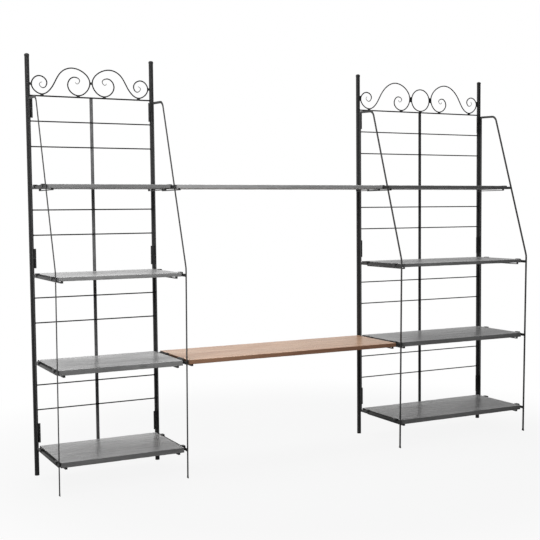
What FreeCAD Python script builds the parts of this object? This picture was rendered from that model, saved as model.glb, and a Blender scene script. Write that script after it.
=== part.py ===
import FreeCAD
import Part
import math
import os

# Shelving unit of two ladder towers. Each tower has a ladder back of round bar, two wings of flat bar that
# are hinged to its uprights, and boards that hang between the wings on hooks. Two longer boards link the
# towers. Lengths are in millimetres. While the pieces are made, X runs to the right from the first upright,
# Y runs to the back from the plane of the uprights and Z runs up from the floor.

os.makedirs("parts", exist_ok=True)

# Towers
left_tower_span = 618.0
tower_gap = 1216.0
right_tower_span = 845.0
upright_diameter = 22.0
upright_wall = 1.5
upright_height = 2000.0

# Caps on the uprights
cap_diameter = 24.5
cap_foot_diameter = 23.0
cap_widest_rise = 5.0
cap_height = 14.0
cap_stem_length = 15.0
cap_shoulder_share = 0.72

# Ladder back
middle_diameter = 16.0
middle_notch = 5.0
middle_bottom = 128.0
rail_diameter = 7.0
rail_drop = 182.0
rung_diameter = 6.0
rung_start = 318.0
rung_pair_gap = 120.0
rung_pairs = 4

# Scrolls and ring
scroll_diameter = 6.0
scroll_side_gap = 18.9
scroll_rise = 8.5
left_scroll_height = 130.0
right_scroll_height = 151.0
scroll_middle_gap = 6.1
ring_diameter = 128.0
ring_side_gap = 10.1

# Each table runs from the end of the small spiral to the end of the big one, as shares of the scroll's own
# width and height.
left_scroll_shares = [
    (0.178, 0.443), (0.134, 0.337), (0.193, 0.233), (0.259, 0.406), (0.129, 0.664), (0.000, 0.359),
    (0.173, 0.007), (0.322, 0.210), (0.412, 0.534), (0.502, 0.825), (0.705, 1.000), (1.000, 0.468),
    (0.792, 0.000), (0.615, 0.370), (0.737, 0.672), (0.823, 0.542), (0.779, 0.429), (0.748, 0.487),
]
right_scroll_shares = [
    (0.124, 0.443), (0.106, 0.377), (0.155, 0.278), (0.212, 0.423), (0.117, 0.602), (0.000, 0.370),
    (0.164, 0.008), (0.294, 0.162), (0.361, 0.377), (0.434, 0.642), (0.713, 1.000), (1.000, 0.419),
    (0.822, 0.000), (0.677, 0.275), (0.765, 0.499), (0.832, 0.395), (0.791, 0.311), (0.767, 0.370),
]

# Collars
collar_depth = 7.0
collar_width = 15.0
left_collar_length = 12.0
right_collar_length = 28.0
collar_bite = 1.5

# Wings of flat bar
bar_width = 12.0
bar_thickness = 3.0
back_bar_width = 18.0
back_bar_gap = 0.3
arm_drop = 197.0
arm_fall = 5.0
arm_reach = 150.0
knee_reach = 421.0
knee_height = 1000.0
leg_reach = 405.0
arm_bend_radius = 40.0
knee_bend_radius = 70.0
foot_width = 18.0
foot_height = 14.0
side_rail_height = 14.0
side_rail_drop = 5.0

# Hinges
knuckle_diameter = 11.0
knuckle_length = 46.0
knuckle_spacing = 1.0
knuckle_weld_bite = 0.23
leaf_lap = 1.6
leaf_thickness = 2.0
sleeve_end_wall = 1.5
pin_diameter = 6.0
pin_length = 40.0
pin_gap = 0.3
left_low_hinge = 160.0
right_low_hinge = 167.0
middle_hinge = 1001.0
top_hinge_drop = 287.0

# Boards
upper_board_thickness = 18.0
lower_board_thickness = 24.0
lower_board_count = 2
lower_link_thickness = 21.0
lowest_board_top = 146.0
top_board_drop = 606.0
board_count = 4
board_back_gap = 3.1
board_front_gap = 9.0
top_board_front_gap = 19.9
tower_end_gap = 12.0
link_end_gap = 18.0
board_rounding = 1.5

# Hooks on the board ends
hook_length = 26.0
hook_rise = 2.0
hook_leg = 2.7
hook_drop = 14.0
hook_side_gap = 0.6
hook_rest_gap = 0.3
back_hook_inset = 67.0
front_hook_inset = 39.0
link_hook_gap = 16.0

# Straps under the boards
strap_inset = 42.0
strap_width = 11.0
strap_thickness = 4.0
strap_drop = 9.5
strap_back_inset = 26.0
strap_front_inset = 4.0


def vector(x, y, z):
    return FreeCAD.Vector(x, y, z)


def block(x_low, x_high, y_low, y_high, z_low, z_high):
    corner = vector(min(x_low, x_high), min(y_low, y_high), min(z_low, z_high))
    return Part.makeBox(abs(x_high - x_low), abs(y_high - y_low), abs(z_high - z_low), corner)


def bar_along_x(diameter, x_low, x_high, y, z):
    return Part.makeCylinder(diameter / 2, x_high - x_low, vector(x_low, y, z), vector(1, 0, 0))


def bar_along_z(diameter, x, y, z_low, z_high):
    return Part.makeCylinder(diameter / 2, z_high - z_low, vector(x, y, z_low))


def filled(points):
    return Part.Face(Part.makePolygon(points + [points[0]]))


def bent_path(points, radii):
    """A wire through the points, with each inner corner rounded by its radius."""
    edges = []
    start = points[0]
    for corner, after, radius in zip(points[1:-1], points[2:], radii):
        back = (start - corner).normalize()
        ahead = (after - corner).normalize()
        half_angle = back.getAngle(ahead) / 2
        inward = (back + ahead).normalize()
        arc_start = corner + back * (radius / math.tan(half_angle))
        arc_end = corner + ahead * (radius / math.tan(half_angle))
        arc_middle = corner + inward * (radius / math.sin(half_angle) - radius)
        edges.append(Part.makeLine(start, arc_start))
        edges.append(Part.Arc(arc_start, arc_middle, arc_end).toShape())
        start = arc_end
    edges.append(Part.makeLine(start, points[-1]))
    return Part.Wire(edges)


def round_rod(path, diameter, start, direction):
    outline = Part.Wire(Part.makeCircle(diameter / 2, start, direction))
    return path.makePipeShell([outline], True, False)


# Places that several pieces share

def rail_height():
    return upright_height - rail_drop


def arm_back_height():
    return upright_height - arm_drop


def arm_front_height():
    return arm_back_height() - arm_fall


def rung_heights():
    """The pairs are evenly spaced, and the highest one keeps the pair's gap below the top rail."""
    pitch = (rail_height() - 2 * rung_pair_gap - rung_start) / (rung_pairs - 1)
    return [rung_start + pitch * pair + step for pair in range(rung_pairs) for step in (0, rung_pair_gap)]


def board_heights():
    """The tops of the boards, evenly spaced from the lowest to the highest."""
    pitch = (upright_height - top_board_drop - lowest_board_top) / (board_count - 1)
    return [lowest_board_top + pitch * level for level in range(board_count)]


def side_rail_ends(top):
    return top - side_rail_drop - side_rail_height, top - side_rail_drop


def front_reach_at(height):
    """How far the middle of the front bar stands in front of the uprights at a height."""
    if height < knee_height:
        return leg_reach + (knee_reach - leg_reach) * height / knee_height
    climb = (height - knee_height) / (arm_front_height() - knee_height)
    return knee_reach + (arm_reach - knee_reach) * climb


def side_rail_reach(top):
    low, high = side_rail_ends(top)
    return front_reach_at((low + high) / 2)


def back_bar_front():
    return -(upright_diameter / 2 + back_bar_gap + back_bar_width)


def knuckle_forward():
    """How far the hinge pin stands in front of the upright, so that the leaf laps the back bar."""
    return upright_diameter / 2 + back_bar_gap + leaf_lap - knuckle_diameter / 2


def knuckle_offset():
    """How far the hinge pin stands beside the upright, so that the knuckle is welded to it."""
    distance = (upright_diameter + knuckle_diameter) / 2 - knuckle_weld_bite
    return math.sqrt(distance ** 2 - knuckle_forward() ** 2)


def board_back():
    return knuckle_forward() + knuckle_diameter / 2 + board_back_gap


def board_front(level):
    if level == board_count - 1:
        return side_rail_reach(board_heights()[level]) - top_board_front_gap
    return leg_reach - board_front_gap


# Ladder backs

def make_uprights(left_x, right_x):
    shapes = []
    for x in (left_x, right_x):
        tube = bar_along_z(upright_diameter, x, 0, 0, upright_height)
        bore = bar_along_z(upright_diameter - 2 * upright_wall, x, 0, 0, upright_height)
        shapes.append(tube.cut(bore))
    return shapes


def make_cap(x):
    radius = cap_diameter / 2
    stem_radius = upright_diameter / 2 - upright_wall
    seat = upright_height
    widest = seat + cap_widest_rise
    crown = seat + cap_height
    stem_end = seat - cap_stem_length
    shoulder = cap_shoulder_share
    shoulder_point = vector(x + radius * shoulder, 0, widest + (crown - widest) * shoulder)
    edges = [
        Part.Arc(vector(x, 0, crown), shoulder_point, vector(x + radius, 0, widest)).toShape(),
        Part.makeLine(vector(x + radius, 0, widest), vector(x + cap_foot_diameter / 2, 0, seat)),
        Part.makeLine(vector(x + cap_foot_diameter / 2, 0, seat), vector(x + stem_radius, 0, seat)),
        Part.makeLine(vector(x + stem_radius, 0, seat), vector(x + stem_radius, 0, stem_end)),
        Part.makeLine(vector(x + stem_radius, 0, stem_end), vector(x, 0, stem_end)),
        Part.makeLine(vector(x, 0, stem_end), vector(x, 0, crown)),
    ]
    return Part.Face(Part.Wire(edges)).revolve(vector(x, 0, 0), vector(0, 0, 1), 360)


def solid_uprights(left_x, right_x):
    return [bar_along_z(upright_diameter, x, 0, 0, upright_height) for x in (left_x, right_x)]


def make_top_rail(left_x, right_x):
    return bar_along_x(rail_diameter, left_x, right_x, 0, rail_height()).cut(solid_uprights(left_x, right_x))


def make_rungs(left_x, right_x):
    uprights = solid_uprights(left_x, right_x)
    return [bar_along_x(rung_diameter, left_x, right_x, 0, z).cut(uprights) for z in rung_heights()]


def make_middle_upright(left_x, right_x, crossing_bars):
    """The middle upright stands behind the rungs and the top rail, which are let into its front."""
    setback = (middle_diameter + rung_diameter) / 2 - middle_notch
    bar = bar_along_z(middle_diameter, (left_x + right_x) / 2, setback, middle_bottom, rail_height())
    return bar.cut(crossing_bars)


# Scrolls, ring and collars

def ring_radius():
    return (ring_diameter - scroll_diameter) / 2


def scroll_width(span, middle_gap):
    """From the outermost point of the small spiral to the innermost point of the big one."""
    return span / 2 - scroll_side_gap - middle_gap


def scroll_points(origin_x, side, width, height, shares):
    points = []
    for across, up in shares:
        x = origin_x + side * (scroll_side_gap + width * across)
        points.append(vector(x, 0, rail_height() + scroll_rise + height * up))
    return points


def make_scroll(points):
    curve = Part.BSplineCurve()
    curve.interpolate(points)
    path = Part.Wire(curve.toShape())
    return round_rod(path, scroll_diameter, points[0], curve.tangent(curve.FirstParameter)[0])


def resting_points(points):
    """The lowest points of the small and the big spiral, which lie before and after the scroll's crest."""
    crest = points.index(max(points, key=lambda point: point.z))
    return [min(spiral, key=lambda point: point.z) for spiral in (points[:crest], points[crest:])]


def ring_middle(left_x, right_x):
    return (left_x + right_x) / 2, rail_height() + scroll_rise + ring_radius()


def make_ring(left_x, right_x):
    x, z = ring_middle(left_x, right_x)
    return Part.makeTorus(ring_radius(), scroll_diameter / 2, vector(x, 0, z), vector(0, 1, 0))


def standing_collar(x_low, x_high, z, length, neighbours):
    shape = block(x_low - collar_bite, x_high + collar_bite, -collar_depth / 2, collar_depth / 2,
                  z - length / 2, z + length / 2)
    return shape.cut(neighbours)


def resting_collar(x, z_top, neighbours):
    shape = block(x - collar_width / 2, x + collar_width / 2, -collar_depth / 2, collar_depth / 2,
                  rail_height(), z_top)
    return shape.cut(neighbours)


def make_collars(left_x, right_x, length, outlines, scrolls, rail, ring):
    """Standing collars join a scroll to what is beside it, and resting collars join it to the top rail."""
    neighbours = scrolls + [rail] + solid_uprights(left_x, right_x)
    if ring:
        neighbours.append(ring)
    shapes = []
    inner_edges = []
    for side, edge, outline in zip((1, -1), (left_x, right_x), outlines):
        upright_face = edge + side * upright_diameter / 2
        small_end = min(outline, key=lambda point: side * point.x)
        big_end = max(outline, key=lambda point: side * point.x)
        scroll_face = small_end.x - side * scroll_diameter / 2
        shapes.append(standing_collar(min(upright_face, scroll_face), max(upright_face, scroll_face),
                                      small_end.z, length, neighbours))
        for lowest in resting_points(outline):
            shapes.append(resting_collar(lowest.x, lowest.z, neighbours))
        inner_edges.append(big_end.x + side * scroll_diameter / 2)
        height = big_end.z
    if ring:
        x, z = ring_middle(left_x, right_x)
        reach = ring_diameter / 2
        shapes.append(standing_collar(inner_edges[0], x - reach, height, length, neighbours))
        shapes.append(standing_collar(x + reach, inner_edges[1], height, length, neighbours))
        shapes.append(resting_collar(x, z - ring_radius(), neighbours))
    else:
        shapes.append(standing_collar(inner_edges[0], inner_edges[1], height, length, neighbours))
    return shapes


# Wings

def make_back_bar(x):
    low = side_rail_ends(lowest_board_top)[0]
    high = arm_back_height() + bar_width / 2
    front = back_bar_front()
    return block(x - bar_thickness / 2, x + bar_thickness / 2, front, front + back_bar_width, low, high)


def make_front_bar(x):
    points = [
        vector(x, back_bar_front(), arm_back_height()),
        vector(x, -arm_reach, arm_front_height()),
        vector(x, -knee_reach, knee_height),
        vector(x, -leg_reach, 0),
    ]
    path = bent_path(points, [arm_bend_radius, knee_bend_radius])
    half = bar_width / 2
    flat = bar_thickness / 2
    start = points[0]
    outline = Part.makePolygon([
        start + vector(-flat, 0, -half), start + vector(flat, 0, -half),
        start + vector(flat, 0, half), start + vector(-flat, 0, half), start + vector(-flat, 0, -half),
    ])
    bar = path.makePipeShell([outline], True, False)
    foot = filled([
        vector(x - flat, -leg_reach - foot_width / 2, 0),
        vector(x - flat, -leg_reach + foot_width / 2, 0),
        vector(x - flat, -front_reach_at(foot_height) + half, foot_height),
        vector(x - flat, -front_reach_at(foot_height) - half, foot_height),
    ]).extrude(vector(bar_thickness, 0, 0))
    below = block(x - bar_width, x + bar_width, -leg_reach - foot_width, -leg_reach + foot_width,
                  -foot_height, 0)
    return bar.fuse(foot).cut(below).removeSplitter()


def make_side_rails(x, front_bar):
    shapes = []
    for top in board_heights():
        low, high = side_rail_ends(top)
        rail = block(x - bar_thickness / 2, x + bar_thickness / 2, -side_rail_reach(top), back_bar_front(),
                     low, high)
        shapes.append(rail.cut(front_bar))
    return shapes


# Hinges

def make_knuckle(x, inward, bottom):
    """The lower half of a hinge, welded to the upright, with the pin standing out of it."""
    middle_x = x + inward * knuckle_offset()
    top = bottom + knuckle_length
    body = bar_along_z(knuckle_diameter, middle_x, -knuckle_forward(), bottom, top)
    pin = bar_along_z(pin_diameter, middle_x, -knuckle_forward(), top, top + pin_length)
    return body.fuse(pin).cut(bar_along_z(upright_diameter, x, 0, 0, upright_height)).removeSplitter()


def make_leaf(x, inward, bottom):
    """The upper half of a hinge: a sleeve over the pin with a plate that is welded to the back bar."""
    middle_x = x + inward * knuckle_offset()
    low = bottom + knuckle_length + knuckle_spacing
    high = low + knuckle_length
    sleeve = bar_along_z(knuckle_diameter, middle_x, -knuckle_forward(), low, high)
    plate_front = -knuckle_forward() - knuckle_diameter / 2
    plate = block(x + inward * bar_thickness / 2, middle_x, plate_front, plate_front + leaf_thickness,
                  low, high)
    bore = bar_along_z(pin_diameter + 2 * pin_gap, middle_x, -knuckle_forward(), low, high - sleeve_end_wall)
    upright = bar_along_z(upright_diameter + 2 * pin_gap, x, 0, 0, upright_height)
    return sleeve.fuse(plate).cut(bore).cut(upright).removeSplitter()


# Boards

def make_plank(x_low, x_high, front, top, thickness):
    plank = block(x_low, x_high, -front, -board_back(), top - thickness, top)
    return plank.makeFillet(board_rounding, plank.Edges)


def make_hook(wing_x, inward, end_gap, middle, top):
    """A saddle over the side rail, with a leg outside the rail and a leg against the end of the board."""
    slot = bar_thickness / 2 + hook_side_gap
    outside = slot + hook_leg
    inside = end_gap - hook_leg
    rest = -side_rail_drop + hook_rest_gap
    outline = [
        (end_gap, -hook_drop), (end_gap, hook_rise), (-outside, hook_rise), (-outside, -hook_drop),
        (-slot, -hook_drop), (-slot, rest), (inside, rest), (inside, -hook_drop),
    ]
    back = -middle + hook_length / 2
    points = [vector(wing_x + inward * across, back, top + up) for across, up in outline]
    return filled(points).extrude(vector(0, -hook_length, 0))


def make_strap(wing_x, inward, front, top, thickness):
    """A flat strip under the board, turned up at both ends to meet it."""
    under = top - thickness
    low = under - strap_drop
    back_y = -board_back() - strap_back_inset
    front_y = -front + strap_front_inset
    thick = strap_thickness
    x = wing_x + inward * strap_inset
    outline = [
        (back_y, under), (back_y, low), (front_y, low), (front_y, under),
        (front_y + thick, under), (front_y + thick, low + thick),
        (back_y - thick, low + thick), (back_y - thick, under),
    ]
    points = [vector(x, y, z) for y, z in outline]
    return filled(points).extrude(vector(-inward * strap_width, 0, 0))


def make_board(left_x, right_x, end_gap, level, hook_shift, thickness):
    top = board_heights()[level]
    front = board_front(level)
    plank = make_plank(left_x + end_gap, right_x - end_gap, front, top, thickness)
    back_hook = board_back() + back_hook_inset + hook_shift
    front_hook = front - front_hook_inset - hook_shift
    hooks = []
    straps = []
    for wing_x, inward in ((left_x, 1), (right_x, -1)):
        for middle in (back_hook, front_hook):
            hooks.append(make_hook(wing_x, inward, end_gap, middle, top))
        straps.append(make_strap(wing_x, inward, front, top, thickness))
    return plank, hooks, straps


nodes = {}

left_tower = (0, left_tower_span)
right_tower = (left_tower_span + tower_gap, left_tower_span + tower_gap + right_tower_span)
link = (left_tower[1], right_tower[0])

nodes["caps"] = [make_cap(x) for x in left_tower + right_tower]

tower_details = [
    ("left", left_tower, scroll_middle_gap, left_scroll_height, left_scroll_shares, left_collar_length,
     left_low_hinge, False),
    ("right", right_tower, ring_diameter / 2 + ring_side_gap, right_scroll_height, right_scroll_shares,
     right_collar_length, right_low_hinge, True),
]
wing_number = 0
for name, tower, middle_gap, scroll_height, shares, collar_length, low_hinge, has_ring in tower_details:
    left_x, right_x = tower
    rail = make_top_rail(left_x, right_x)
    rungs = make_rungs(left_x, right_x)
    width = scroll_width(right_x - left_x, middle_gap)
    outlines = [
        scroll_points(left_x, 1, width, scroll_height, shares),
        scroll_points(right_x, -1, width, scroll_height, shares),
    ]
    scrolls = [make_scroll(outline) for outline in outlines]
    ring = make_ring(left_x, right_x) if has_ring else None
    nodes[name + "_uprights"] = make_uprights(left_x, right_x)
    nodes[name + "_middle_upright"] = [make_middle_upright(left_x, right_x, rungs + [rail])]
    nodes[name + "_top_rail"] = [rail]
    nodes[name + "_rungs"] = rungs
    nodes[name + "_scrolls"] = scrolls
    nodes[name + "_collars"] = make_collars(left_x, right_x, collar_length, outlines, scrolls, rail, ring)
    if ring:
        nodes[name + "_ring"] = [ring]
    knuckles = []
    leaves = []
    back_bars = []
    for x, inward in ((left_x, 1), (right_x, -1)):
        wing_number += 1
        front_bar = make_front_bar(x)
        nodes["wing_%d_front_bar" % wing_number] = [front_bar]
        nodes["wing_%d_rails" % wing_number] = make_side_rails(x, front_bar)
        back_bars.append(make_back_bar(x))
        for bottom in (low_hinge, middle_hinge, upright_height - top_hinge_drop):
            knuckles.append(make_knuckle(x, inward, bottom))
            leaves.append(make_leaf(x, inward, bottom))
    nodes[name + "_hinge_knuckles"] = knuckles
    nodes[name + "_hinge_leaves"] = leaves
    nodes[name + "_back_bars"] = back_bars

boards = []
for level in range(board_count):
    number = board_count - level
    thickness = lower_board_thickness if level < lower_board_count else upper_board_thickness
    boards.append(("left_board_%d" % number, left_tower, tower_end_gap, level, 0, thickness))
    boards.append(("right_board_%d" % number, right_tower, tower_end_gap, level, 0, thickness))
link_hook_shift = hook_length + link_hook_gap
boards.append(("upper_link_board", link, link_end_gap, board_count - 1, link_hook_shift,
               upper_board_thickness))
boards.append(("lower_link_board", link, link_end_gap, 1, link_hook_shift, lower_link_thickness))
for name, ends, end_gap, level, hook_shift, thickness in boards:
    plank, hooks, straps = make_board(ends[0], ends[1], end_gap, level, hook_shift, thickness)
    nodes[name + "_plank"] = [plank]
    nodes[name + "_hooks"] = hooks
    nodes[name + "_straps"] = straps

# The finished part stands with the middle of its base at the origin.
everything = Part.makeCompound([shape for shapes in nodes.values() for shape in shapes])
extent = everything.BoundBox
shift = vector(-extent.Center.x, -extent.Center.y, 0)

for name, shapes in nodes.items():
    moved = [shape.translated(shift) for shape in shapes]
    result = moved[0] if len(moved) == 1 else Part.makeCompound(moved)
    result.exportStep("parts/" + name + ".step")
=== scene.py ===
import math
import random
import bmesh
import bpy
from bpy.props import FloatProperty, FloatVectorProperty, IntProperty, PointerProperty
from mathutils import Matrix, Vector


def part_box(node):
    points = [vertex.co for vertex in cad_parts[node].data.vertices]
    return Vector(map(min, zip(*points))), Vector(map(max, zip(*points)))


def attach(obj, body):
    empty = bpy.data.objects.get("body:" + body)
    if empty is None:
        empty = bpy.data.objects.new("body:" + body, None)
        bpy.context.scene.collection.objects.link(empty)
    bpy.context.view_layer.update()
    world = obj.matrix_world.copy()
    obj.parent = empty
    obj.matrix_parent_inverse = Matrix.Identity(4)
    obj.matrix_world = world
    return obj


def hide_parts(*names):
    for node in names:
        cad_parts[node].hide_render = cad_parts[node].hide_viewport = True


bl_info = {
    "name": "Shelving unit with ladder towers",
    "version": (1, 0, 0),
    "blender": (4, 5, 0),
    "location": "View3D > Sidebar > Shelving",
    "description": "Dresses the packed shelving unit: forged black iron, stained boards and a plain studio",
    "category": "Object",
}

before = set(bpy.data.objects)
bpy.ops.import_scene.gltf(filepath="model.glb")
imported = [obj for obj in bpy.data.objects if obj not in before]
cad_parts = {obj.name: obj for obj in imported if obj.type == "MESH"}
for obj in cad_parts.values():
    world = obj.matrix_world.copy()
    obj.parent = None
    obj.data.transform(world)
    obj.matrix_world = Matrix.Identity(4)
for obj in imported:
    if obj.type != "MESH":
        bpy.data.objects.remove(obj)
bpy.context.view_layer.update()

TOWERS = ("left", "right")

# The scrolls' outlines, from the end of the small spiral to the end of the big one, as shares of the
# scroll's own width and height.
SCROLL_SHARES = {
    "left": (
        (0.178, 0.443), (0.134, 0.337), (0.193, 0.233), (0.259, 0.406), (0.129, 0.664), (0.000, 0.359),
        (0.173, 0.007), (0.322, 0.210), (0.412, 0.534), (0.502, 0.825), (0.705, 1.000), (1.000, 0.468),
        (0.792, 0.000), (0.615, 0.370), (0.737, 0.672), (0.823, 0.542), (0.779, 0.429), (0.748, 0.487),
    ),
    "right": (
        (0.124, 0.443), (0.106, 0.377), (0.155, 0.278), (0.212, 0.423), (0.117, 0.602), (0.000, 0.370),
        (0.164, 0.008), (0.294, 0.162), (0.361, 0.377), (0.434, 0.642), (0.713, 1.000), (1.000, 0.419),
        (0.822, 0.000), (0.677, 0.275), (0.765, 0.499), (0.832, 0.395), (0.791, 0.311), (0.767, 0.370),
    ),
}

# The outline of a cap's dome, from the crown down, as shares of the cap's radius and the dome's height.
CAP_SHARES = (
    (0.0, 1.0), (0.22, 0.99), (0.44, 0.955), (0.64, 0.885), (0.81, 0.78), (0.925, 0.64), (0.985, 0.48),
    (1.0, 0.33), (0.985, 0.19), (0.94, 0.08), (0.905, 0.0),
)
# How much lighter or darker the stain of each board has turned out.
TONE_SHARES = {
    "left_board_1": 0.86, "left_board_2": 1.08, "left_board_3": 1.06, "left_board_4": 0.95,
    "right_board_1": 0.74, "right_board_2": 1.1, "right_board_3": 1.0, "right_board_4": 0.94,
    "upper_link_board": 1.45, "lower_link_board": 1.0,
}
BOARDS = tuple(TONE_SHARES)
BROWN_BOARD = "lower_link_board"

# What the dark parts of the figure keep of the stain's colour.
GREY_TINT = (0.46, 0.46, 0.46)
BROWN_TINT = (0.55, 0.44, 0.4)
# How dark the end grain is, as a share of the edges' colour, and its rings, as a share of the end grain.
END_TONE = 0.42
RING_TONE = 0.55

# Corners that are nearer than this are one, in metres, and faces that meet at less than this are one face,
# in radians.
MERGE_DISTANCE = 0.000005
FLAT_ANGLE = 0.02
# Edges of the solids that turn by more than this, in radians, are rounded, in so many steps. On the collars,
# hooks and straps the rounding is this wide, in metres.
BEVEL_ANGLE = 0.5
BEVEL_STEPS = 2
FITTING_EDGE = 0.0006
# Edges that turn by more than this stay sharp, on the eased pieces and on the others.
EASED_ANGLE = math.radians(32)
SHARP_ANGLE = math.radians(40)
# A board's face is flat and not smooth where its normal points along an axis by this share or more.
FLAT_SHARE = 0.998

# Corners of the rungs whose heights are further apart than this belong to two rungs, in metres.
RUNG_SPACING = 0.01
# How far a rung's ends go into the uprights, in metres, how much wider it is at its weld, as a share of its
# thickness, and how many circles the weld is drawn with.
RUNG_SINK = 0.0002
WELD_SPREAD = 0.85
WELD_STEPS = 8
# How far a weld bead goes into the middle upright and stands in front of the rung's axis, in metres, how far
# it stands above or below that axis, as a share of the rung's thickness, its smallest and largest size, as
# shares of the usual size, and how far it may be turned about each axis, in radians.
BEAD_SINK = 0.0004
BEAD_FORWARD = 0.0008
BEAD_RISE = 0.36
BEAD_SIZES = (0.8, 1.15)
BEAD_TURNS = (6.2, 6.2, 6.2)
BEAD_SEED = 4

# The distance between a forged rod's circles, in metres, and the share by which its thickness varies.
ROD_STEP = 0.0022
ROD_LUMPS = 0.10
# How many sides, steps and points the round shapes are drawn with.
ROD_SIDES = 14
RUNG_SIDES = 16
CAP_SIDES = 40
BEND_STEPS = 18
EDGE_STEPS = 3
CURVE_STEPS = 40
RING_POINTS = 96
# The radius of the circle that stands for a turned shape's axis, in metres.
HAIR = 0.000001

WHITE = (1.0, 1.0, 1.0)
# How far the floor reaches from the unit's middle, in metres.
FLOOR_REACH = 14.0
# Each lamp's size in metres, spread in degrees, place, the point that it shines at and its power in watts.
LAMPS = {
    "key_light": (1.4, 75.0, (-2.2, -2.2, 2.4), (-0.75, 0.0, 1.45), 17.0),
    "top_light": (3.0, 180.0, (-0.7, 0.7, 4.4), (-0.2, 0.2, 0.0), 132.0),
}
# The camera's place, its turn, tilt and roll in degrees, its sensor's width in millimetres, the picture's
# side in pixels, and the pixel that the camera looks straight at, from the left and from the top.
CAMERA_PLACE = (-2.4853, -4.50865, 1.2653)
CAMERA_ANGLES = (-27.1995, -3.7643, -0.5356)
SENSOR_WIDTH = 36.0
PICTURE_SIDE = 540.0
PICTURE_CENTRE = (270.4163, 275.7323)


def length(name, text, value, high=3.0):
    return FloatProperty(name=name, description=text, default=value, min=0.0, max=high,
                         subtype="DISTANCE", unit="LENGTH", precision=4)


def share(name, text, value):
    return FloatProperty(name=name, description=text, default=value, min=0.0, max=1.0, subtype="FACTOR")


def colour(name, text, value):
    return FloatVectorProperty(name=name, description=text, default=value, min=0.0, max=1.0, size=3,
                               subtype="COLOR")


class ShelvingIron(bpy.types.PropertyGroup):
    """Iron: the paint of the rods and the grey post, and the sizes of the bars."""
    paint: colour("Paint", "Colour of the paint on rungs, rails, scrolls and ring", (0.0045, 0.0045, 0.0047))
    worn: colour("Worn paint", "Colour of that paint where it is rubbed", (0.02, 0.02, 0.0206))
    # The left middle upright is painted a lighter grey than the rest of the iron, all over.
    post: colour("Grey post", "Colour of the left middle upright, gone grey", (0.1, 0.1, 0.101))
    roughness: share("Roughness", "Roughness of the paint", 0.66)
    hammer: length("Hammer depth", "Depth of the marks of the forge", 0.0002)
    edge: length("Edge", "Rounding of the flat bar's edges", 0.0005)
    weld: length("Weld", "Width of the weld where a rung meets an upright", 0.0022)
    scroll_diameter: length("Scroll rod", "Diameter of the scrolls and the ring", 0.006)
    scroll_tip: share("Scroll tip", "Size of the drawn-out tip as a share of the rod", 0.42)
    scroll_taper: length("Scroll taper", "Length over which the rod is drawn out to its tip", 0.085)
    rung_diameter: length("Rung rod", "Diameter of the rungs", 0.006)
    rail_diameter: length("Rail rod", "Diameter of the top rail", 0.007)
    cap_stem: length("Cap stem", "Diameter of the caps' stems inside the uprights", 0.0189)
    bead: length("Weld bead", "Radius of the beads where a rung meets the middle upright", 0.0014)


class ShelvingWing(bpy.types.PropertyGroup):
    """Front bars of the wings, measured from the uprights' axes and the floor."""
    arm_drop: length("Arm drop", "From the top of the upright down to the arm", 0.197)
    arm_fall: length("Arm fall", "How much the arm drops to its bend", 0.005)
    arm_reach: length("Arm reach", "How far the arm's bend stands in front", 0.15)
    knee_reach: length("Knee reach", "How far the knee stands in front", 0.421)
    knee_height: length("Knee height", "Height of the knee", 1.0)
    leg_reach: length("Leg reach", "How far the foot stands in front", 0.405)
    arm_bend: length("Arm bend", "Radius of the arm's bend", 0.04)
    knee_bend: length("Knee bend", "Radius of the knee's bend", 0.07)
    width: length("Bar width", "Width of the flat bar", 0.012)
    thickness: length("Bar thickness", "Thickness of the flat bar", 0.003)
    foot_width: length("Foot width", "Width of the flared foot", 0.018)
    foot_height: length("Foot height", "Height of the flare", 0.014)


class ShelvingWood(bpy.types.PropertyGroup):
    """Boards: their stains and their edges."""
    # The top colours are painted lighter than the edge colours: a painted reflection of the bright
    # surroundings.
    grey_top_painted_sheen: colour("Grey top", "Colour of the grey boards' worn top faces", (0.53, 0.53, 0.53))
    grey_edge: colour("Grey edge", "Colour of the grey boards' edges", (0.25, 0.25, 0.25))
    brown_top_painted_sheen: colour("Brown top", "Colour of the brown board's worn top face", (0.82, 0.54, 0.36))
    brown_edge: colour("Brown edge", "Colour of the brown board's edges", (0.35, 0.19, 0.115))
    figure: share("Figure", "How strongly the dark figure shows", 0.42)
    smudges: share("Smudges", "How strongly the short dark smudges show", 0.6)
    roughness: share("Roughness", "Roughness of the worn varnish", 0.27)
    grain: length("Grain depth", "Depth of the open grain", 0.00002)
    edge: length("Edge", "How far from a long edge its dents reach", 0.0035)
    dents: length("Dents", "Depth of the dents in the boards' edges", 0.0005)
    dent_count: IntProperty(name="Dent places", description="Places along a board where its edges are dented",
                            default=34, min=2)
    seed: IntProperty(name="Seed", description="Start of the random numbers for the dents", default=7)


class ShelvingStage(bpy.types.PropertyGroup):
    """Floor, light and camera."""
    floor: colour("Floor", "Colour of the floor and the backdrop", (0.42, 0.42, 0.42))
    shadow: share("Shadow", "How much of the floor's shading the camera sees", 0.1)
    pool: length("Pool", "How far from the unit the floor's shading is seen", 2.4, high=20.0)
    light: FloatProperty(name="Sky", description="Strength of the light from all round", default=0.2, min=0.0)
    lens: FloatProperty(name="Lens", description="Focal length on a 36 mm sensor", default=66.08, min=1.0,
                        subtype="DISTANCE_CAMERA", unit="CAMERA")


# Node trees

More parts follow.
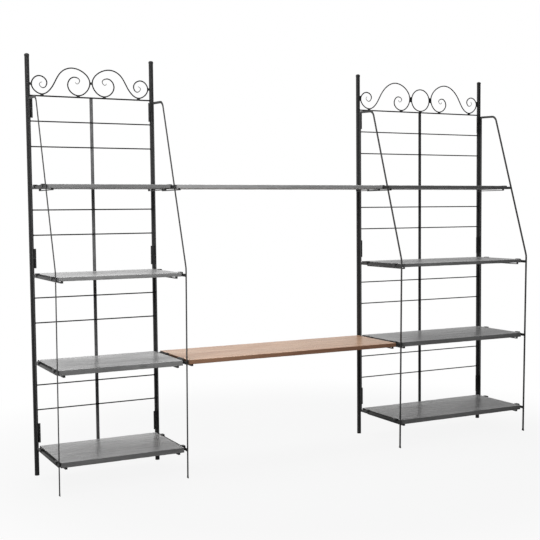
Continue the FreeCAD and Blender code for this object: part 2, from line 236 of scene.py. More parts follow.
class Tree:
    """A node tree whose nodes are added one by one, each with its inputs by name."""
    prefix = "ShaderNode"

    def __init__(self, tree):
        self.nodes = tree.nodes
        self.links = tree.links
        self.nodes.clear()

    def node(self, kind, inputs=(), prefix=None, **options):
        made = self.nodes.new((prefix or self.prefix) + kind)
        for key, value in options.items():
            setattr(made, key, value)
        for key, value in dict(inputs).items():
            socket = made.inputs[key]
            if isinstance(value, bpy.types.NodeSocket):
                self.links.new(value, socket)
            elif socket.type == "RGBA":
                socket.default_value = (*value[:3], 1.0)
            else:
                socket.default_value = value
        return made

    def maths(self, operation, first, second=0.0, third=0.0):
        made = self.node("Math", {0: first, 1: second, 2: third}, "ShaderNode", operation=operation)
        return made.outputs[0]

    def ramp(self, value, low, high, first=0.0, second=1.0):
        """Goes smoothly from first to second while the value goes from low to high."""
        made = self.node("MapRange", {"Value": value, "From Min": low, "From Max": high, "To Min": first,
                                      "To Max": second}, "ShaderNode", interpolation_type="SMOOTHSTEP")
        return made.outputs["Result"]

    def total(self, *terms):
        """The sum of the values, each times its weight."""
        part = self.maths("MULTIPLY", *terms[0])
        return self.maths("ADD", part, self.total(*terms[1:])) if terms[1:] else part


class Shader(Tree):
    """The node tree of a material."""

    def __init__(self, name):
        self.material = bpy.data.materials.get(name) or bpy.data.materials.new(name)
        self.material.use_nodes = True
        super().__init__(self.material.node_tree)

    def blend(self, factor, first, second, kind="MIX"):
        made = self.node("Mix", {0: factor, 6: first, 7: second}, data_type="RGBA", blend_type=kind)
        return made.outputs[2]

    def noise(self, place, scale, detail=4.0, roughness=0.55, distortion=0.0):
        """Soft random spots. The scale is about how many there are in a metre, one number or one per axis."""
        if isinstance(scale, tuple):
            place = self.node("Mapping", {"Vector": place, "Scale": scale}).outputs["Vector"]
            scale = 1.0
        made = self.node("TexNoise", {"Vector": place, "Scale": scale, "Detail": detail,
                                      "Roughness": roughness, "Distortion": distortion})
        return made.outputs["Fac"]

    def finish(self, surface):
        self.node("OutputMaterial", {"Surface": surface.outputs[0]})
        return self.material


def iron_material(name, paint_colour, brushed=(160.0, 160.0, 6.0)):
    """Paint over forged iron: shallow hammer marks, brush strokes and rubbed edges."""
    metal = bpy.context.scene.shelving_iron
    shader = Shader(name)
    place = shader.node("TexCoord").outputs["Object"]
    marks = shader.node("TexVoronoi", {"Vector": place, "Scale": 95.0, "Smoothness": 0.6},
                        feature="SMOOTH_F1").outputs["Distance"]
    speckle = shader.noise(place, 900.0, detail=3.0, roughness=0.6)
    patches = shader.noise(place, 14.0, detail=5.0, roughness=0.6)
    strokes = shader.noise(place, brushed, detail=4.0, roughness=0.6)
    rounded = shader.node("Bevel", {"Radius": 0.0012}, samples=4).outputs["Normal"]
    flat = shader.node("NewGeometry").outputs["Normal"]
    turn = shader.node("VectorMath", {0: rounded, 1: flat}, operation="DOT_PRODUCT").outputs["Value"]
    rubbed = shader.maths("MULTIPLY", shader.ramp(turn, 0.995, 0.9), shader.ramp(patches, 0.35, 0.65))
    mottled = shader.blend(shader.ramp(patches, 0.4, 0.75), paint_colour,
                           tuple(part * 1.5 for part in paint_colour))
    base = shader.blend(rubbed, mottled, metal.worn)
    height = shader.total((marks, 1.4), (strokes, 0.45), (speckle, 0.12))
    bump = shader.node("Bump", {"Height": height, "Strength": 0.22, "Distance": metal.hammer,
                                "Normal": rounded})
    gloss = shader.ramp(shader.maths("ADD", patches, shader.maths("MULTIPLY", speckle, 0.25)), 0.35, 0.9,
                        metal.roughness - 0.07, metal.roughness + 0.12)
    return shader.finish(shader.node("BsdfPrincipled", {
        "Base Color": base, "Roughness": gloss, "IOR": 1.34, "Normal": bump.outputs["Normal"]}))


def wood_material(name, top, edge, tint):
    """Stained board: a top painted lighter than the edges as a painted reflection, soft clouds,
    short smudges, open grain along X and dark end grain.
    """
    wood = bpy.context.scene.shelving_wood
    shader = Shader(name)
    place = shader.node("TexCoord").outputs["Object"]
    sway = shader.noise(place, (2.2, 9.0, 9.0), detail=2.0, roughness=0.5)
    shift = shader.node("CombineXYZ", {"Y": shader.maths("MULTIPLY", sway, 0.07)})
    swayed = shader.node("VectorMath", {0: place, 1: shift.outputs["Vector"]},
                         operation="ADD").outputs["Vector"]
    cloud = shader.noise(swayed, (2.6, 8.0, 8.0), detail=3.0, roughness=0.5)
    figure = shader.noise(swayed, (1.9, 24.0, 21.0), detail=5.0, roughness=0.6, distortion=0.5)
    smudge = shader.noise(swayed, (13.0, 50.0, 41.0), detail=3.0, distortion=0.9)
    fibre = shader.noise(swayed, (9.0, 620.0, 420.0), roughness=0.65)
    pores = shader.noise(swayed, (38.0, 1400.0, 900.0), detail=2.0, roughness=0.5)
    rings = shader.noise(place, (30.0, 90.0, 240.0), roughness=0.6, distortion=0.4)
    facing = shader.node("SeparateXYZ", {"Vector": shader.node("NewGeometry").outputs["Normal"]}).outputs
    on_top = shader.ramp(facing["Z"], 0.5, 0.95)
    on_end = shader.ramp(shader.maths("ABSOLUTE", facing["X"]), 0.6, 0.9)
    # The tops take the lighter top colour, a painted reflection; the edges and ends keep the stain's own
    # colour.
    base = stain = shader.blend(on_top, edge, top)
    dark = shader.blend(1.0, stain, tint, "MULTIPLY")
    for pattern, low, high, strength in ((figure, 0.38, 0.68, wood.figure), (cloud, 0.42, 0.68, wood.figure),
                                         (smudge, 0.6, 0.74, wood.smudges), (fibre, 0.4, 0.7, 0.22)):
        base = shader.blend(shader.maths("MULTIPLY", shader.ramp(pattern, low, high), strength), base, dark)
    end = tuple(part * END_TONE for part in edge)
    end_tone = shader.blend(shader.ramp(rings, 0.35, 0.65), end, tuple(part * RING_TONE for part in end))
    base = shader.blend(on_end, base, end_tone)
    height = shader.total((fibre, 0.6), (shader.ramp(pores, 0.62, 0.45), 0.5), (figure, 0.5))
    bump = shader.node("Bump", {"Height": height, "Strength": 0.3, "Distance": wood.grain})
    gloss = shader.ramp(shader.maths("ADD", shader.maths("MULTIPLY", fibre, 0.5), figure), 0.4, 1.1,
                        wood.roughness - 0.05, wood.roughness + 0.1)
    off_top = shader.maths("SUBTRACT", 1.0, on_top)
    gloss = shader.maths("ADD", gloss, shader.maths("MULTIPLY", off_top, 0.25))
    return shader.finish(shader.node("BsdfPrincipled", {
        "Base Color": base, "Roughness": gloss, "IOR": 1.5, "Normal": bump.outputs["Normal"],
        "Specular IOR Level": shader.ramp(on_end, 0.0, 1.0, 0.5, 0.15)}))


def iron():
    """The frame's own black iron, a flat black with no pattern."""
    return bpy.data.materials["black_iron"]


def drawn_iron():
    """Black paint that is brushed along the rods that run from side to side."""
    return bpy.data.materials.get("black_iron_rods") or iron_material(
        "black_iron_rods", bpy.context.scene.shelving_iron.paint, brushed=(6.0, 160.0, 160.0))


def grey_post_iron():
    return bpy.data.materials.get("grey_post_iron") or iron_material(
        "grey_post_iron", bpy.context.scene.shelving_iron.post)


def stained(board):
    wood = bpy.context.scene.shelving_wood
    name, tone = board + "_stain", TONE_SHARES[board]
    top, edge, tint = wood.grey_top_painted_sheen, wood.grey_edge, GREY_TINT
    if board == BROWN_BOARD:
        top, edge, tint = wood.brown_top_painted_sheen, wood.brown_edge, BROWN_TINT
    return bpy.data.materials.get(name) or wood_material(
        name, tuple(part * tone for part in top), tuple(part * tone for part in edge), tint)


# Geometry Nodes

class Recipe(Tree):
    """A Geometry Nodes tree with named inputs for the sizes. Its result is realised and painted."""
    prefix = "GeometryNode"

    def __init__(self, name, inputs):
        self.tree = bpy.data.node_groups.new(name, "GeometryNodeTree")
        super().__init__(self.tree)
        self.sockets = {}
        new_socket = self.tree.interface.new_socket
        new_socket("Geometry", in_out="INPUT", socket_type="NodeSocketGeometry")
        for label, kind in (inputs | {"Material": "Material"}).items():
            made = new_socket(label, in_out="INPUT", socket_type="NodeSocket" + kind)
            self.sockets[label] = made.identifier
        new_socket("Geometry", in_out="OUTPUT", socket_type="NodeSocketGeometry")
        self.given = self.nodes.new("NodeGroupInput").outputs

    def finish(self, geometry):
        smooth = self.node("SetShadeSmooth", {"Geometry": geometry}).outputs["Geometry"]
        realised = self.node("RealizeInstances", {"Geometry": smooth}).outputs["Geometry"]
        painted = self.node("SetMaterial", {"Geometry": realised, "Material": self.given["Material"]})
        result = self.nodes.new("NodeGroupOutput")
        self.links.new(painted.outputs["Geometry"], result.inputs[0])
        return self

    def mesh(self, name, carrier_data, values):
        """Runs the tree on an object that holds the carrier data and gives the result as a plain mesh."""
        carrier = bpy.data.objects.new(name + "_path", carrier_data)
        bpy.context.scene.collection.objects.link(carrier)
        modifier = carrier.modifiers.new("recipe", "NODES")
        modifier.node_group = self.tree
        for label, value in values.items():
            modifier[self.sockets[label]] = value
        carrier.update_tag()
        depsgraph = bpy.context.evaluated_depsgraph_get()
        depsgraph.update()
        mesh = bpy.data.meshes.new_from_object(carrier.evaluated_get(depsgraph))
        carrier.modifiers.remove(modifier)
        bpy.data.objects.remove(carrier)
        if not mesh.polygons:
            raise RuntimeError(f"{name}: the recipe gave no faces")
        mesh.name = name
        mesh.materials.clear()
        mesh.materials.append(values["Material"])
        mesh.polygons.foreach_set("material_index", [0] * len(mesh.polygons))
        return mesh


def rod_recipe():
    """A round rod along a curve, with its ends drawn out to tips."""
    recipe = Recipe("rod_along_a_curve", {"Diameter": "Float", "Tip": "Float", "Taper": "Float",
                                          "Step": "Float", "Lumps": "Float"})
    given = recipe.given
    path = recipe.node("ResampleCurve", {"Curve": given["Geometry"], "Length": given["Step"]}, mode="LENGTH")
    place = recipe.node("SplineParameter")
    whole = recipe.node("SplineLength").outputs["Length"]
    from_end = recipe.maths("MINIMUM", place.outputs["Length"],
                            recipe.maths("SUBTRACT", whole, place.outputs["Length"]))
    size = recipe.ramp(from_end, 0.0, given["Taper"], given["Tip"], 1.0)
    wobble = recipe.node("TexNoise", {"Scale": 38.0, "Detail": 2.0}, "ShaderNode").outputs["Fac"]
    lumps = recipe.maths("MULTIPLY_ADD", recipe.maths("SUBTRACT", wobble, 0.5), given["Lumps"], 1.0)
    radius = recipe.maths("MULTIPLY", recipe.maths("MULTIPLY", given["Diameter"], 0.5),
                          recipe.maths("MULTIPLY", size, lumps))
    outline = recipe.node("CurvePrimitiveCircle", {"Resolution": ROD_SIDES, "Radius": 1.0}).outputs["Curve"]
    rod = recipe.node("CurveToMesh", {"Curve": path.outputs["Curve"], "Profile Curve": outline,
                                      "Scale": radius, "Fill Caps": True})
    return recipe.finish(rod.outputs["Mesh"])


def welded_rod_recipe():
    """Straight rods between two tubes, one from each point of a mesh, wider at the weld at each end."""
    recipe = Recipe("welded_rod", {"Span": "Float", "Diameter": "Float", "Weld": "Float"})
    given = recipe.given
    line = recipe.node("CurvePrimitiveLine", {"End": (1.0, 0.0, 0.0)}).outputs["Curve"]
    path = recipe.node("ResampleCurve", {"Curve": line, "Count": 2 * WELD_STEPS},
                       mode="COUNT").outputs["Curve"]
    index = recipe.node("InputIndex").outputs["Index"]
    from_end = recipe.maths("MINIMUM", index, recipe.maths("SUBTRACT", 2.0 * WELD_STEPS - 1.0, index))
    part = recipe.maths("DIVIDE", from_end, WELD_STEPS - 1.0)
    inset = recipe.maths("MULTIPLY", part, given["Weld"])
    beyond = recipe.maths("SUBTRACT", given["Span"], recipe.maths("MULTIPLY", inset, 2.0))
    far = recipe.maths("MULTIPLY", recipe.maths("GREATER_THAN", index, WELD_STEPS - 0.5), beyond)
    place = recipe.node("CombineXYZ", {"X": recipe.maths("ADD", inset, far)}, "ShaderNode").outputs["Vector"]
    path = recipe.node("SetPosition", {"Geometry": path, "Position": place}).outputs["Geometry"]
    near = recipe.maths("SUBTRACT", 1.0, part)
    flare = recipe.maths("MULTIPLY", recipe.maths("POWER", near, 2.0), WELD_SPREAD)
    radius = recipe.maths("MULTIPLY", recipe.maths("MULTIPLY", given["Diameter"], 0.5),
                          recipe.maths("ADD", flare, 1.0))
    outline = recipe.node("CurvePrimitiveCircle", {"Resolution": RUNG_SIDES, "Radius": 1.0}).outputs["Curve"]
    rod = recipe.node("CurveToMesh", {"Curve": path, "Profile Curve": outline, "Scale": radius,
                                      "Fill Caps": True}).outputs["Mesh"]
    spread = recipe.node("InstanceOnPoints", {"Points": given["Geometry"], "Instance": rod})
    return recipe.finish(spread.outputs["Instances"])


def flat_bar_recipe():
    """A flat bar along a path whose points carry the radius of their bend."""
    recipe = Recipe("bent_flat_bar", {"Width": "Float", "Thickness": "Float", "Edge": "Float"})
    given = recipe.given
    bends = recipe.node("InputRadius").outputs["Radius"]
    path = recipe.node("FilletCurve", {"Curve": given["Geometry"], "Radius": bends, "Count": BEND_STEPS},
                       mode="POLY").outputs["Curve"]
    outline = recipe.node("CurvePrimitiveQuadrilateral", {
        "Width": given["Thickness"], "Height": given["Width"]}, mode="RECTANGLE").outputs["Curve"]
    eased = recipe.node("FilletCurve", {"Curve": outline, "Radius": given["Edge"], "Count": EDGE_STEPS},
                        mode="POLY").outputs["Curve"]
    bar = recipe.node("CurveToMesh", {"Curve": path, "Profile Curve": eased, "Scale": 1.0,
                                      "Fill Caps": True}).outputs["Mesh"]
    return recipe.finish(bar)


def turned_recipe():
    """A turned shape on each loose point of a mesh. The mesh's edges are its outline, from the crown down,
    with the radius along X and the depth along Y."""
    recipe = Recipe("turned_shape", {"Sides": "Int"})
    given = recipe.given
    circle = recipe.node("CurvePrimitiveCircle", {
        "Resolution": given["Sides"], "Radius": HAIR}).outputs["Curve"]
    outline = recipe.node("MeshToCurve", {"Mesh": given["Geometry"]}).outputs["Curve"]
    skin = recipe.node("CurveToMesh", {
        "Curve": circle, "Profile Curve": outline, "Scale": 1.0}).outputs["Mesh"]
    closed = recipe.node("MergeByDistance", {"Geometry": skin, "Distance": 4.0 * HAIR}).outputs["Geometry"]
    neighbours = recipe.node("InputMeshVertexNeighbors").outputs["Vertex Count"]
    loose = recipe.maths("LESS_THAN", neighbours, 0.5)
    seats = recipe.node("MeshToPoints", {"Mesh": given["Geometry"], "Selection": loose}).outputs["Points"]
    spread = recipe.node("InstanceOnPoints", {"Points": seats, "Instance": closed})
    return recipe.finish(spread.outputs["Instances"])


def weld_recipe():
    """Small lumpy weld beads on the points of a mesh."""
    recipe = Recipe("weld_beads", {"Size": "Float", "Seed": "Int"})
    given = recipe.given
    ball = recipe.node("MeshIcoSphere", {"Radius": 1.0, "Subdivisions": 2}).outputs["Mesh"]
    lumps = recipe.node("TexNoise", {"Scale": 1.7, "Detail": 1.0}, "ShaderNode").outputs["Color"]
    offset = recipe.node("VectorMath", {0: lumps, 1: (0.5, 0.5, 0.5)}, "ShaderNode",
                         operation="SUBTRACT").outputs["Vector"]
    lumpy = recipe.node("SetPosition", {"Geometry": ball, "Offset": offset}).outputs["Geometry"]
    turns = recipe.node("RandomValue", {
        "Min": (0.0, 0.0, 0.0), "Max": BEAD_TURNS, "Seed": given["Seed"]}, "FunctionNode",
        data_type="FLOAT_VECTOR").outputs["Value"]
    turned = recipe.node("EulerToRotation", {"Euler": turns}, "FunctionNode").outputs["Rotation"]
    sizes = recipe.node("RandomValue", {2: BEAD_SIZES[0], 3: BEAD_SIZES[1], "Seed": given["Seed"]},
                        "FunctionNode", data_type="FLOAT").outputs[1]
    spread = recipe.node("InstanceOnPoints", {
        "Points": given["Geometry"], "Instance": lumpy, "Rotation": turned,
        "Scale": recipe.maths("MULTIPLY", sizes, given["Size"])})
    return recipe.finish(spread.outputs["Instances"])


# Meshes and pieces

def show(node, finish, mesh, body="frame"):
    """Puts a finished mesh into the scene as a piece of a body, in place of a node."""
    name = f"{node}_{finish}"
    old = bpy.data.objects.get(name)
    if old:
        bpy.data.objects.remove(old)
    piece = bpy.data.objects.new(name, mesh)
    bpy.context.scene.collection.objects.link(piece)
    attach(piece, body)
    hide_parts(node)


def paint(node, material):
    """Gives a solid of the frame its material."""
    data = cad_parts[node].data
    data.materials.clear()
    data.materials.append(material)


def points_mesh(name, points):
    mesh = bpy.data.meshes.new(name)
    mesh.from_pydata(points, [], [])
    return mesh


def merged_copy(node):
    """A solid's mesh to work on, with its loose triangles merged into whole faces."""
    work = bmesh.new()
    work.from_mesh(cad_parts[node].data)
    bmesh.ops.remove_doubles(work, verts=work.verts, dist=MERGE_DISTANCE)
    bmesh.ops.dissolve_limit(work, angle_limit=FLAT_ANGLE, verts=work.verts, edges=work.edges)
    return work


def finished_mesh(work, name, material):
    """The plain mesh of what was worked on, smooth and painted."""
    mesh = bpy.data.meshes.new(name)
    work.to_mesh(mesh)
    work.free()
    mesh.polygons.foreach_set("use_smooth", [True] * len(mesh.polygons))
    mesh.polygons.foreach_set("material_index", [0] * len(mesh.polygons))
    mesh.materials.append(material)
    return mesh


def joined(name, meshes):
    """One mesh from several, with the first one's material."""
    work = bmesh.new()
    for mesh in meshes:
        work.from_mesh(mesh)
    return finished_mesh(work, name, meshes[0].materials[0])


def ease(node, edge, body="frame"):
    """Shows a copy of an iron solid whose sharp edges are rounded."""
    work = merged_copy(node)
    sharp = [e for e in work.edges if len(e.link_faces) == 2 and e.calc_face_angle(0.0) > BEVEL_ANGLE]
    bmesh.ops.bevel(work, geom=sharp, offset=edge, offset_type="OFFSET", segments=BEVEL_STEPS, profile=0.5,
                    affect="EDGES", clamp_overlap=True)
    bmesh.ops.recalc_face_normals(work, faces=work.faces)
    mesh = finished_mesh(work, node, iron())
    mesh.set_sharp_from_angle(angle=EASED_ANGLE)
    show(node, "eased", mesh, body)


def dented_copy(node, material, wood, seed):
    """A copy of a board whose long edges are dented here and there."""
    low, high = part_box(node)
    numbers = random.Random(seed)
    spacing = (high.x - low.x) / wood.dent_count
    places = [round(low.x + spacing * (i + numbers.uniform(0.1, 0.9)), 5) for i in range(wood.dent_count)]
    work = merged_copy(node)
    for x in places:
        bmesh.ops.bisect_plane(work, geom=work.verts[:] + work.edges[:] + work.faces[:],
                               plane_co=(x, 0.0, 0.0), plane_no=(1.0, 0.0, 0.0))
    depths = {}
    for vertex in work.verts:
        x = round(vertex.co.x, 5)
        across = next((side for side in (low.y, high.y) if abs(vertex.co.y - side) < wood.edge), None)
        up = next((side for side in (low.z, high.z) if abs(vertex.co.z - side) < wood.edge), None)
        if x not in places or across is None or up is None:
            continue
        if (x, across, up) not in depths:
            depths[x, across, up] = wood.dents * max(0.0, 2.0 * numbers.random() - 1.0)
        vertex.co.y += depths[x, across, up] * (1.0 if across == low.y else -1.0)
        vertex.co.z += depths[x, across, up] * (1.0 if up == low.z else -1.0)
    bmesh.ops.recalc_face_normals(work, faces=work.faces)
    mesh = finished_mesh(work, node, material)
    for polygon in mesh.polygons:
        polygon.use_smooth = max(abs(part) for part in polygon.normal) < FLAT_SHARE
    mesh.set_sharp_from_angle(angle=SHARP_ANGLE)
    return mesh


def tower_place(tower):
    """The two uprights' axes, the plane that they stand in, their height and their radius."""
    low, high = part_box(tower + "_uprights")
    radius = (high.y - low.y) / 2
    return low.x + radius, high.x - radius, low.y + radius, high.z, radius


def rung_levels(tower):
    """The heights of a tower's rungs, each halfway up a cluster of the solids' corners."""
    clusters = []
    for height in sorted(v.co.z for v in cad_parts[tower + "_rungs"].data.vertices):
        if not clusters or height - clusters[-1][0] > RUNG_SPACING:
            clusters.append([height])
        clusters[-1].append(height)
    return [(cluster[0] + cluster[-1]) / 2 for cluster in clusters]


def spline_through(points):
    """A smooth curve through the points: cubic pieces that share slope and bend, as a Bezier spline."""
    steps = [(b - a).length for a, b in zip(points, points[1:])]
    times = [0.0]
    for step in steps:
        times.append(times[-1] + step)

    def end_slope(four, four_times):
        slope = Vector((0.0, 0.0, 0.0))
        start = four_times[0]
        for i, point in enumerate(four):
            weight = 0.0
            for j in range(4):
                if j == i:
                    continue
                term = 1.0 / (four_times[i] - four_times[j])
                for k in range(4):
                    if k not in (i, j):
                        term *= (start - four_times[k]) / (four_times[i] - four_times[k])
                weight += term
            slope += point * weight
        return slope

    count = len(points)
    slopes = [Vector((0.0, 0.0, 0.0)) for _ in points]
    slopes[0] = end_slope(points[:4], times[:4])
    slopes[-1] = end_slope(points[:-5:-1], times[:-5:-1])
    across = [0.0] * count
    right_side = [slopes[0]] + [Vector((0.0, 0.0, 0.0))] * (count - 1)
    for i in range(1, count - 1):
        before, after = steps[i - 1], steps[i]
        wanted = 3.0 * (after / before * (points[i] - points[i - 1])
                        + before / after * (points[i + 1] - points[i]))
        pivot = 2.0 * (before + after) - after * across[i - 1]
        across[i] = before / pivot
        right_side[i] = (wanted - after * right_side[i - 1]) / pivot
    for i in range(count - 2, 0, -1):
        slopes[i] = right_side[i] - across[i] * slopes[i + 1]
    data = bpy.data.curves.new("spline", "CURVE")
    data.dimensions = "3D"
    data.resolution_u = CURVE_STEPS
    spline = data.splines.new("BEZIER")
    spline.bezier_points.add(count - 1)
    for i, bezier in enumerate(spline.bezier_points):
        bezier.handle_left_type = bezier.handle_right_type = "FREE"
        bezier.co = points[i]
        bezier.handle_left = points[i] - slopes[i] * (steps[max(i - 1, 0)] / 3.0)
        bezier.handle_right = points[i] + slopes[i] * (steps[min(i, count - 2)] / 3.0)
    return data


# Operators

class SHELVING_OT_uprights(bpy.types.Operator):
    """Turns the caps and paints the uprights and the middle uprights"""
    bl_idname = "shelving.uprights"
    bl_label = "Uprights and caps"

    def execute(self, context):
        low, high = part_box("caps")
        radius, stem = (high.y - low.y) / 2, context.scene.shelving_iron.cap_stem / 2
        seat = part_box("left_uprights")[1].z
        outline = [(radius * across, (high.z - seat) * up) for across, up in CAP_SHARES]
        outline += [(stem, 0.0), (stem, low.z - seat), (0.0, low.z - seat)]
        seats = []
        for tower in TOWERS:
            left_x, right_x, y, top, _ = tower_place(tower)
            seats += [(left_x, y, top), (right_x, y, top)]
            paint(tower + "_uprights", iron())
        data = bpy.data.meshes.new("outline")
        data.from_pydata([(across, -up, 0.0) for across, up in outline] + seats,
                         [(i, i + 1) for i in range(len(outline) - 1)], [])
        caps = turned_recipe().mesh("caps", data, {"Sides": CAP_SIDES, "Material": iron()})
        caps.set_sharp_from_angle(angle=SHARP_ANGLE)
        show("caps", "turned", caps)
        paint("left_middle_upright", grey_post_iron())
        paint("right_middle_upright", iron())
        return {"FINISHED"}


class SHELVING_OT_rungs(bpy.types.Operator):
    """Makes the rungs and the top rails as rods that are welded to the uprights"""
    bl_idname = "shelving.rungs"
    bl_label = "Rungs and rails"

    def execute(self, context):
        metal = context.scene.shelving_iron
        recipe = welded_rod_recipe()
        beads = weld_recipe()
        for tower in TOWERS:
            left_x, right_x, y, _, radius = tower_place(tower)
            start = left_x + radius - RUNG_SINK
            span = right_x - radius + RUNG_SINK - start
            low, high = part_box(tower + "_top_rail")
            rail = (low.z + high.z) / 2
            low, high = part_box(tower + "_middle_upright")
            post = (high.x - low.x) / 2
            behind = y - (high.y - post)
            middle = (left_x + right_x) / 2
            aside = math.sqrt(max(post ** 2 - behind ** 2, 0.0)) - BEAD_SINK
            for part, levels, diameter in (("rungs", rung_levels(tower), metal.rung_diameter),
                                           ("top_rail", [rail], metal.rail_diameter)):
                node = f"{tower}_{part}"
                places = points_mesh("places", [(start, y, level) for level in levels])
                rods = recipe.mesh(node, places, {
                    "Span": span, "Diameter": diameter, "Weld": metal.weld, "Material": drawn_iron()})
                spots = points_mesh("spots", [
                    (middle + side * aside, y - BEAD_FORWARD, level + up * diameter * BEAD_RISE)
                    for level in levels for side in (-1, 1) for up in (-1, 1)])
                dots = beads.mesh("beads", spots, {
                    "Size": metal.bead, "Seed": BEAD_SEED, "Material": drawn_iron()})
                show(node, "welded", joined(node, [rods, dots]))
        return {"FINISHED"}


class SHELVING_OT_scrolls(bpy.types.Operator):
    """Makes the scrolls with their drawn-out tips, the ring, and the collars that hold them"""
    bl_idname = "shelving.scrolls"
    bl_label = "Scrolls, ring and collars"

    def execute(self, context):
        metal = context.scene.shelving_iron
        recipe = rod_recipe()
        rod = {"Diameter": metal.scroll_diameter, "Taper": metal.scroll_taper, "Step": ROD_STEP,
               "Lumps": ROD_LUMPS, "Material": drawn_iron()}
        for tower in TOWERS:
            node = tower + "_scrolls"
            left_x, right_x, y, _, _ = tower_place(tower)
            low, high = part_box(node)
            half = metal.scroll_diameter / 2
            near, bottom = low.x + half - left_x, low.z + half
            height = high.z - half - bottom
            inner = max(v.co.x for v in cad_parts[node].data.vertices
                        if v.co.x < (left_x + right_x) / 2) - half - left_x
            meshes = []
            for side, edge in ((1, left_x), (-1, right_x)):
                points = [Vector((edge + side * (near + (inner - near) * across), y, bottom + height * up))
                          for across, up in SCROLL_SHARES[tower]]
                meshes.append(recipe.mesh("scroll", spline_through(points), rod | {"Tip": metal.scroll_tip}))
            show(node, "forged", joined(node, meshes))
            ease(tower + "_collars", FITTING_EDGE)
        low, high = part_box("right_ring")
        centre, around = (low + high) / 2, (high.x - low.x - metal.scroll_diameter) / 2
        circle = bpy.data.curves.new("circle", "CURVE")
        circle.dimensions = "3D"
        spline = circle.splines.new("POLY")
        spline.points.add(RING_POINTS - 1)
        for i, point in enumerate(spline.points):
            turn = 2.0 * math.pi * i / RING_POINTS
            point.co = (centre.x + around * math.cos(turn), centre.y, centre.z + around * math.sin(turn), 1.0)
        spline.use_cyclic_u = True
        show("right_ring", "forged", recipe.mesh("ring", circle, rod | {"Tip": 1.0}))
        return {"FINISHED"}


class SHELVING_OT_wings(bpy.types.Operator):
    """Makes the wings' front bars with their bends and feet, and eases the back bars and side rails"""
    bl_idname = "shelving.wings"
    bl_label = "Wings"

    def execute(self, context):
        metal, wing = context.scene.shelving_iron, context.scene.shelving_wing
        recipe = flat_bar_recipe()
        number = 0
        for tower in TOWERS:
            left_x, right_x, y, top, _ = tower_place(tower)
            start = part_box(tower + "_back_bars")[0].y
            for x in (left_x, right_x):
                number += 1
                arm = top - wing.arm_drop
                lean = (wing.knee_reach - wing.leg_reach) * wing.foot_height / wing.knee_height
                route = [
                    ((x, start, arm), 0.0),
                    ((x, y - wing.arm_reach, arm - wing.arm_fall), wing.arm_bend),
                    ((x, y - wing.knee_reach, wing.knee_height), wing.knee_bend),
                    ((x, y - wing.leg_reach - lean, wing.foot_height), 0.0),
                    ((x, y - wing.leg_reach, 0.0), 0.0),
                ]
                data = bpy.data.curves.new("route", "CURVE")
                data.dimensions = "3D"
                spline = data.splines.new("POLY")
                spline.points.add(len(route) - 1)
                for point, (place, bend) in zip(spline.points, route):
                    point.co = (*place, 1.0)
                    point.radius = bend
                mesh = recipe.mesh("front_bar", data, {"Width": wing.width, "Thickness": wing.thickness,
                                                       "Edge": metal.edge, "Material": iron()})
                foot = y - wing.leg_reach
                for vertex in mesh.vertices:
                    if vertex.co.z < wing.foot_height / 2:
                        vertex.co.z = 0.0
                        vertex.co.y = foot + (vertex.co.y - foot) * wing.foot_width / wing.width
                mesh.set_sharp_from_angle(angle=SHARP_ANGLE)
                show(f"wing_{number}_front_bar", "bent", mesh)
                ease(f"wing_{number}_rails", metal.edge)
            ease(tower + "_back_bars", metal.edge)
        return {"FINISHED"}


class SHELVING_OT_hinges(bpy.types.Operator):
    """Eases the edges of the hinges"""
    bl_idname = "shelving.hinges"
    bl_label = "Hinges"

    def execute(self, context):
        for tower in TOWERS:
            for part in ("hinge_knuckles", "hinge_leaves"):
                ease(f"{tower}_{part}", context.scene.shelving_iron.edge)
        return {"FINISHED"}


class SHELVING_OT_planks(bpy.types.Operator):
    """Makes the stained boards, with dents in their long edges"""
    bl_idname = "shelving.planks"
    bl_label = "Boards"

    def execute(self, context):
        wood = context.scene.shelving_wood
        for number, board in enumerate(BOARDS):
            node = board + "_plank"
            mesh = dented_copy(node, stained(board), wood, wood.seed + number)
            show(node, "worn", mesh, board)
        return {"FINISHED"}


class SHELVING_OT_fittings(bpy.types.Operator):
    """Eases the hooks on the boards' ends and the straps under the boards"""
    bl_idname = "shelving.fittings"
    bl_label = "Hooks and straps"

    def execute(self, context):
        for board in BOARDS:
            for part in ("hooks", "straps"):
                ease(f"{board}_{part}", FITTING_EDGE, board)
        return {"FINISHED"}


def floor_material(stage):
    """A floor that the camera sees as white with a faint shadow, and that mirrors pale towards the back."""
    shader = Shader("pale_floor")
    rays = shader.node("LightPath").outputs
    position = shader.node("NewGeometry").outputs["Position"]
    where = shader.node("SeparateXYZ", {"Vector": position})
    behind = shader.ramp(where.outputs["Y"], -0.3, 1.6, 0.06, 1.0)
    diffuse = shader.node("BsdfDiffuse", {"Color": stage.floor})
    seen = shader.node("Emission", {"Color": WHITE, "Strength": 1.0})
    mirrored = shader.node("Emission", {"Color": WHITE, "Strength": behind})
    white = shader.node("MixShader", {0: rays["Is Camera Ray"], 1: mirrored.outputs[0], 2: seen.outputs[0]})
    away = shader.node("VectorMath", {0: position}, operation="LENGTH").outputs["Value"]
    shaded = shader.ramp(away, stage.pool * 0.5, stage.pool, stage.shadow, 0.0)
    unshaded = shader.maths("MULTIPLY", rays["Is Camera Ray"], shader.maths("SUBTRACT", 1.0, shaded))
    shiny = shader.maths("MAXIMUM", rays["Is Glossy Ray"], rays["Is Transmission Ray"])
    clear = shader.maths("MAXIMUM", shiny, unshaded)
    return shader.finish(shader.node("MixShader", {0: clear, 1: diffuse.outputs[0], 2: white.outputs[0]}))


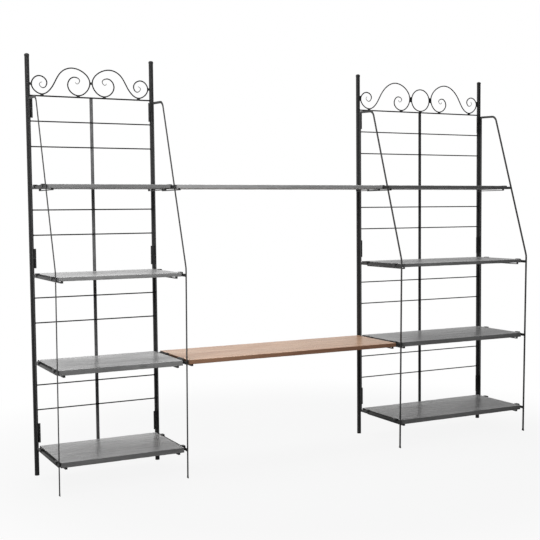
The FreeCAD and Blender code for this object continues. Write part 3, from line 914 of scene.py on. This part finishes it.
def studio_world(stage):
    """White to the camera, a soft light on the object, and brighter behind than in front in its gloss."""
    world = bpy.data.worlds.new("studio")
    world.use_nodes = True
    sky = Tree(world.node_tree)
    rays = sky.node("LightPath").outputs
    towards = sky.node("SeparateXYZ", {0: sky.node("TexCoord").outputs["Generated"]}).outputs
    back = sky.ramp(towards["Y"], -0.6, 0.55, 0.12, 1.0)
    right = sky.ramp(towards["X"], 0.15, 0.75, 1.0, 0.55)
    soft = sky.node("Background", {"Color": WHITE, "Strength": stage.light})
    bright = sky.node("Background", {"Strength": sky.maths("MULTIPLY", back, right)})
    white = sky.node("Background", {"Color": WHITE, "Strength": 1.0})
    shiny = sky.maths("MAXIMUM", rays["Is Glossy Ray"], rays["Is Transmission Ray"])
    unseen = sky.node("MixShader", {0: shiny, 1: soft.outputs[0], 2: bright.outputs[0]})
    whole = sky.node("MixShader", {0: rays["Is Camera Ray"], 1: unseen.outputs[0], 2: white.outputs[0]})
    sky.node("OutputWorld", {"Surface": whole.outputs[0]})
    return world


class SHELVING_OT_stage(bpy.types.Operator):
    """Puts up the floor, the studio light and the camera"""
    bl_idname = "shelving.stage"
    bl_label = "Stage"

    def execute(self, context):
        scene = context.scene
        stage = scene.shelving_stage
        scene.view_settings.view_transform = "Standard"
        mesh = bpy.data.meshes.new("floor")
        corners = [(x * FLOOR_REACH, y * FLOOR_REACH, 0) for x, y in ((-1, -1), (1, -1), (1, 1), (-1, 1))]
        mesh.from_pydata(corners, [], [(0, 1, 2, 3)])
        mesh.materials.append(floor_material(stage))
        floor = bpy.data.objects.new("floor", mesh)
        scene.collection.objects.link(floor)
        scene.world = studio_world(stage)

        for name, (size, spread, place, aim, power) in LAMPS.items():
            data = bpy.data.lights.new(name, "AREA")
            data.size = size
            data.spread = math.radians(spread)
            data.energy = power
            lamp = bpy.data.objects.new(name, data)
            lamp.visible_glossy = False
            lamp.location = place
            lamp.rotation_euler = (Vector(aim) - Vector(place)).to_track_quat("-Z", "Y").to_euler()
            scene.collection.objects.link(lamp)

        turn, tilt, roll = (math.radians(angle) for angle in CAMERA_ANGLES)
        ahead = Vector((-math.sin(turn) * math.cos(tilt), math.cos(turn) * math.cos(tilt), math.sin(tilt)))
        level = Vector((math.cos(turn), math.sin(turn), 0.0))
        upward = level.cross(ahead)
        camera_x = math.cos(roll) * level + math.sin(roll) * upward
        camera_y = -math.sin(roll) * level + math.cos(roll) * upward
        data = bpy.data.cameras.new("camera")
        data.lens = stage.lens
        data.sensor_width = SENSOR_WIDTH
        data.shift_x = (PICTURE_SIDE / 2 - PICTURE_CENTRE[0]) / PICTURE_SIDE
        data.shift_y = (PICTURE_CENTRE[1] - PICTURE_SIDE / 2) / PICTURE_SIDE
        camera = bpy.data.objects.new("camera", data)
        place = Matrix((camera_x, camera_y, -ahead)).transposed().to_4x4()
        place.translation = Vector(CAMERA_PLACE)
        camera.matrix_world = place
        scene.collection.objects.link(camera)
        scene.camera = camera
        return {"FINISHED"}


class SHELVING_PT_panel(bpy.types.Panel):
    """The pieces of the shelving unit, in the order in which they are made"""
    bl_idname = "SHELVING_PT_panel"
    bl_label = "Shelving unit"
    bl_space_type = "VIEW_3D"
    bl_region_type = "UI"
    bl_category = "Shelving"

    def draw(self, context):
        for operator in PIECES:
            self.layout.operator(operator.bl_idname)


PIECES = (SHELVING_OT_uprights, SHELVING_OT_rungs, SHELVING_OT_scrolls, SHELVING_OT_wings, SHELVING_OT_hinges,
          SHELVING_OT_planks, SHELVING_OT_fittings, SHELVING_OT_stage)
GROUPS = {"shelving_iron": ShelvingIron, "shelving_wing": ShelvingWing, "shelving_wood": ShelvingWood,
          "shelving_stage": ShelvingStage}


def register():
    for group in GROUPS.values():
        bpy.utils.register_class(group)
    for piece in PIECES:
        bpy.utils.register_class(piece)
    bpy.utils.register_class(SHELVING_PT_panel)
    for name, group in GROUPS.items():
        setattr(bpy.types.Scene, name, PointerProperty(type=group))


def unregister():
    for name in GROUPS:
        delattr(bpy.types.Scene, name)
    bpy.utils.unregister_class(SHELVING_PT_panel)
    for piece in reversed(PIECES):
        bpy.utils.unregister_class(piece)
    for group in reversed(list(GROUPS.values())):
        bpy.utils.unregister_class(group)


def main():
    register()
    for piece in PIECES:
        group, name = piece.bl_idname.split(".")
        getattr(getattr(bpy.ops, group), name)()


if __name__ == "__main__":
    main()
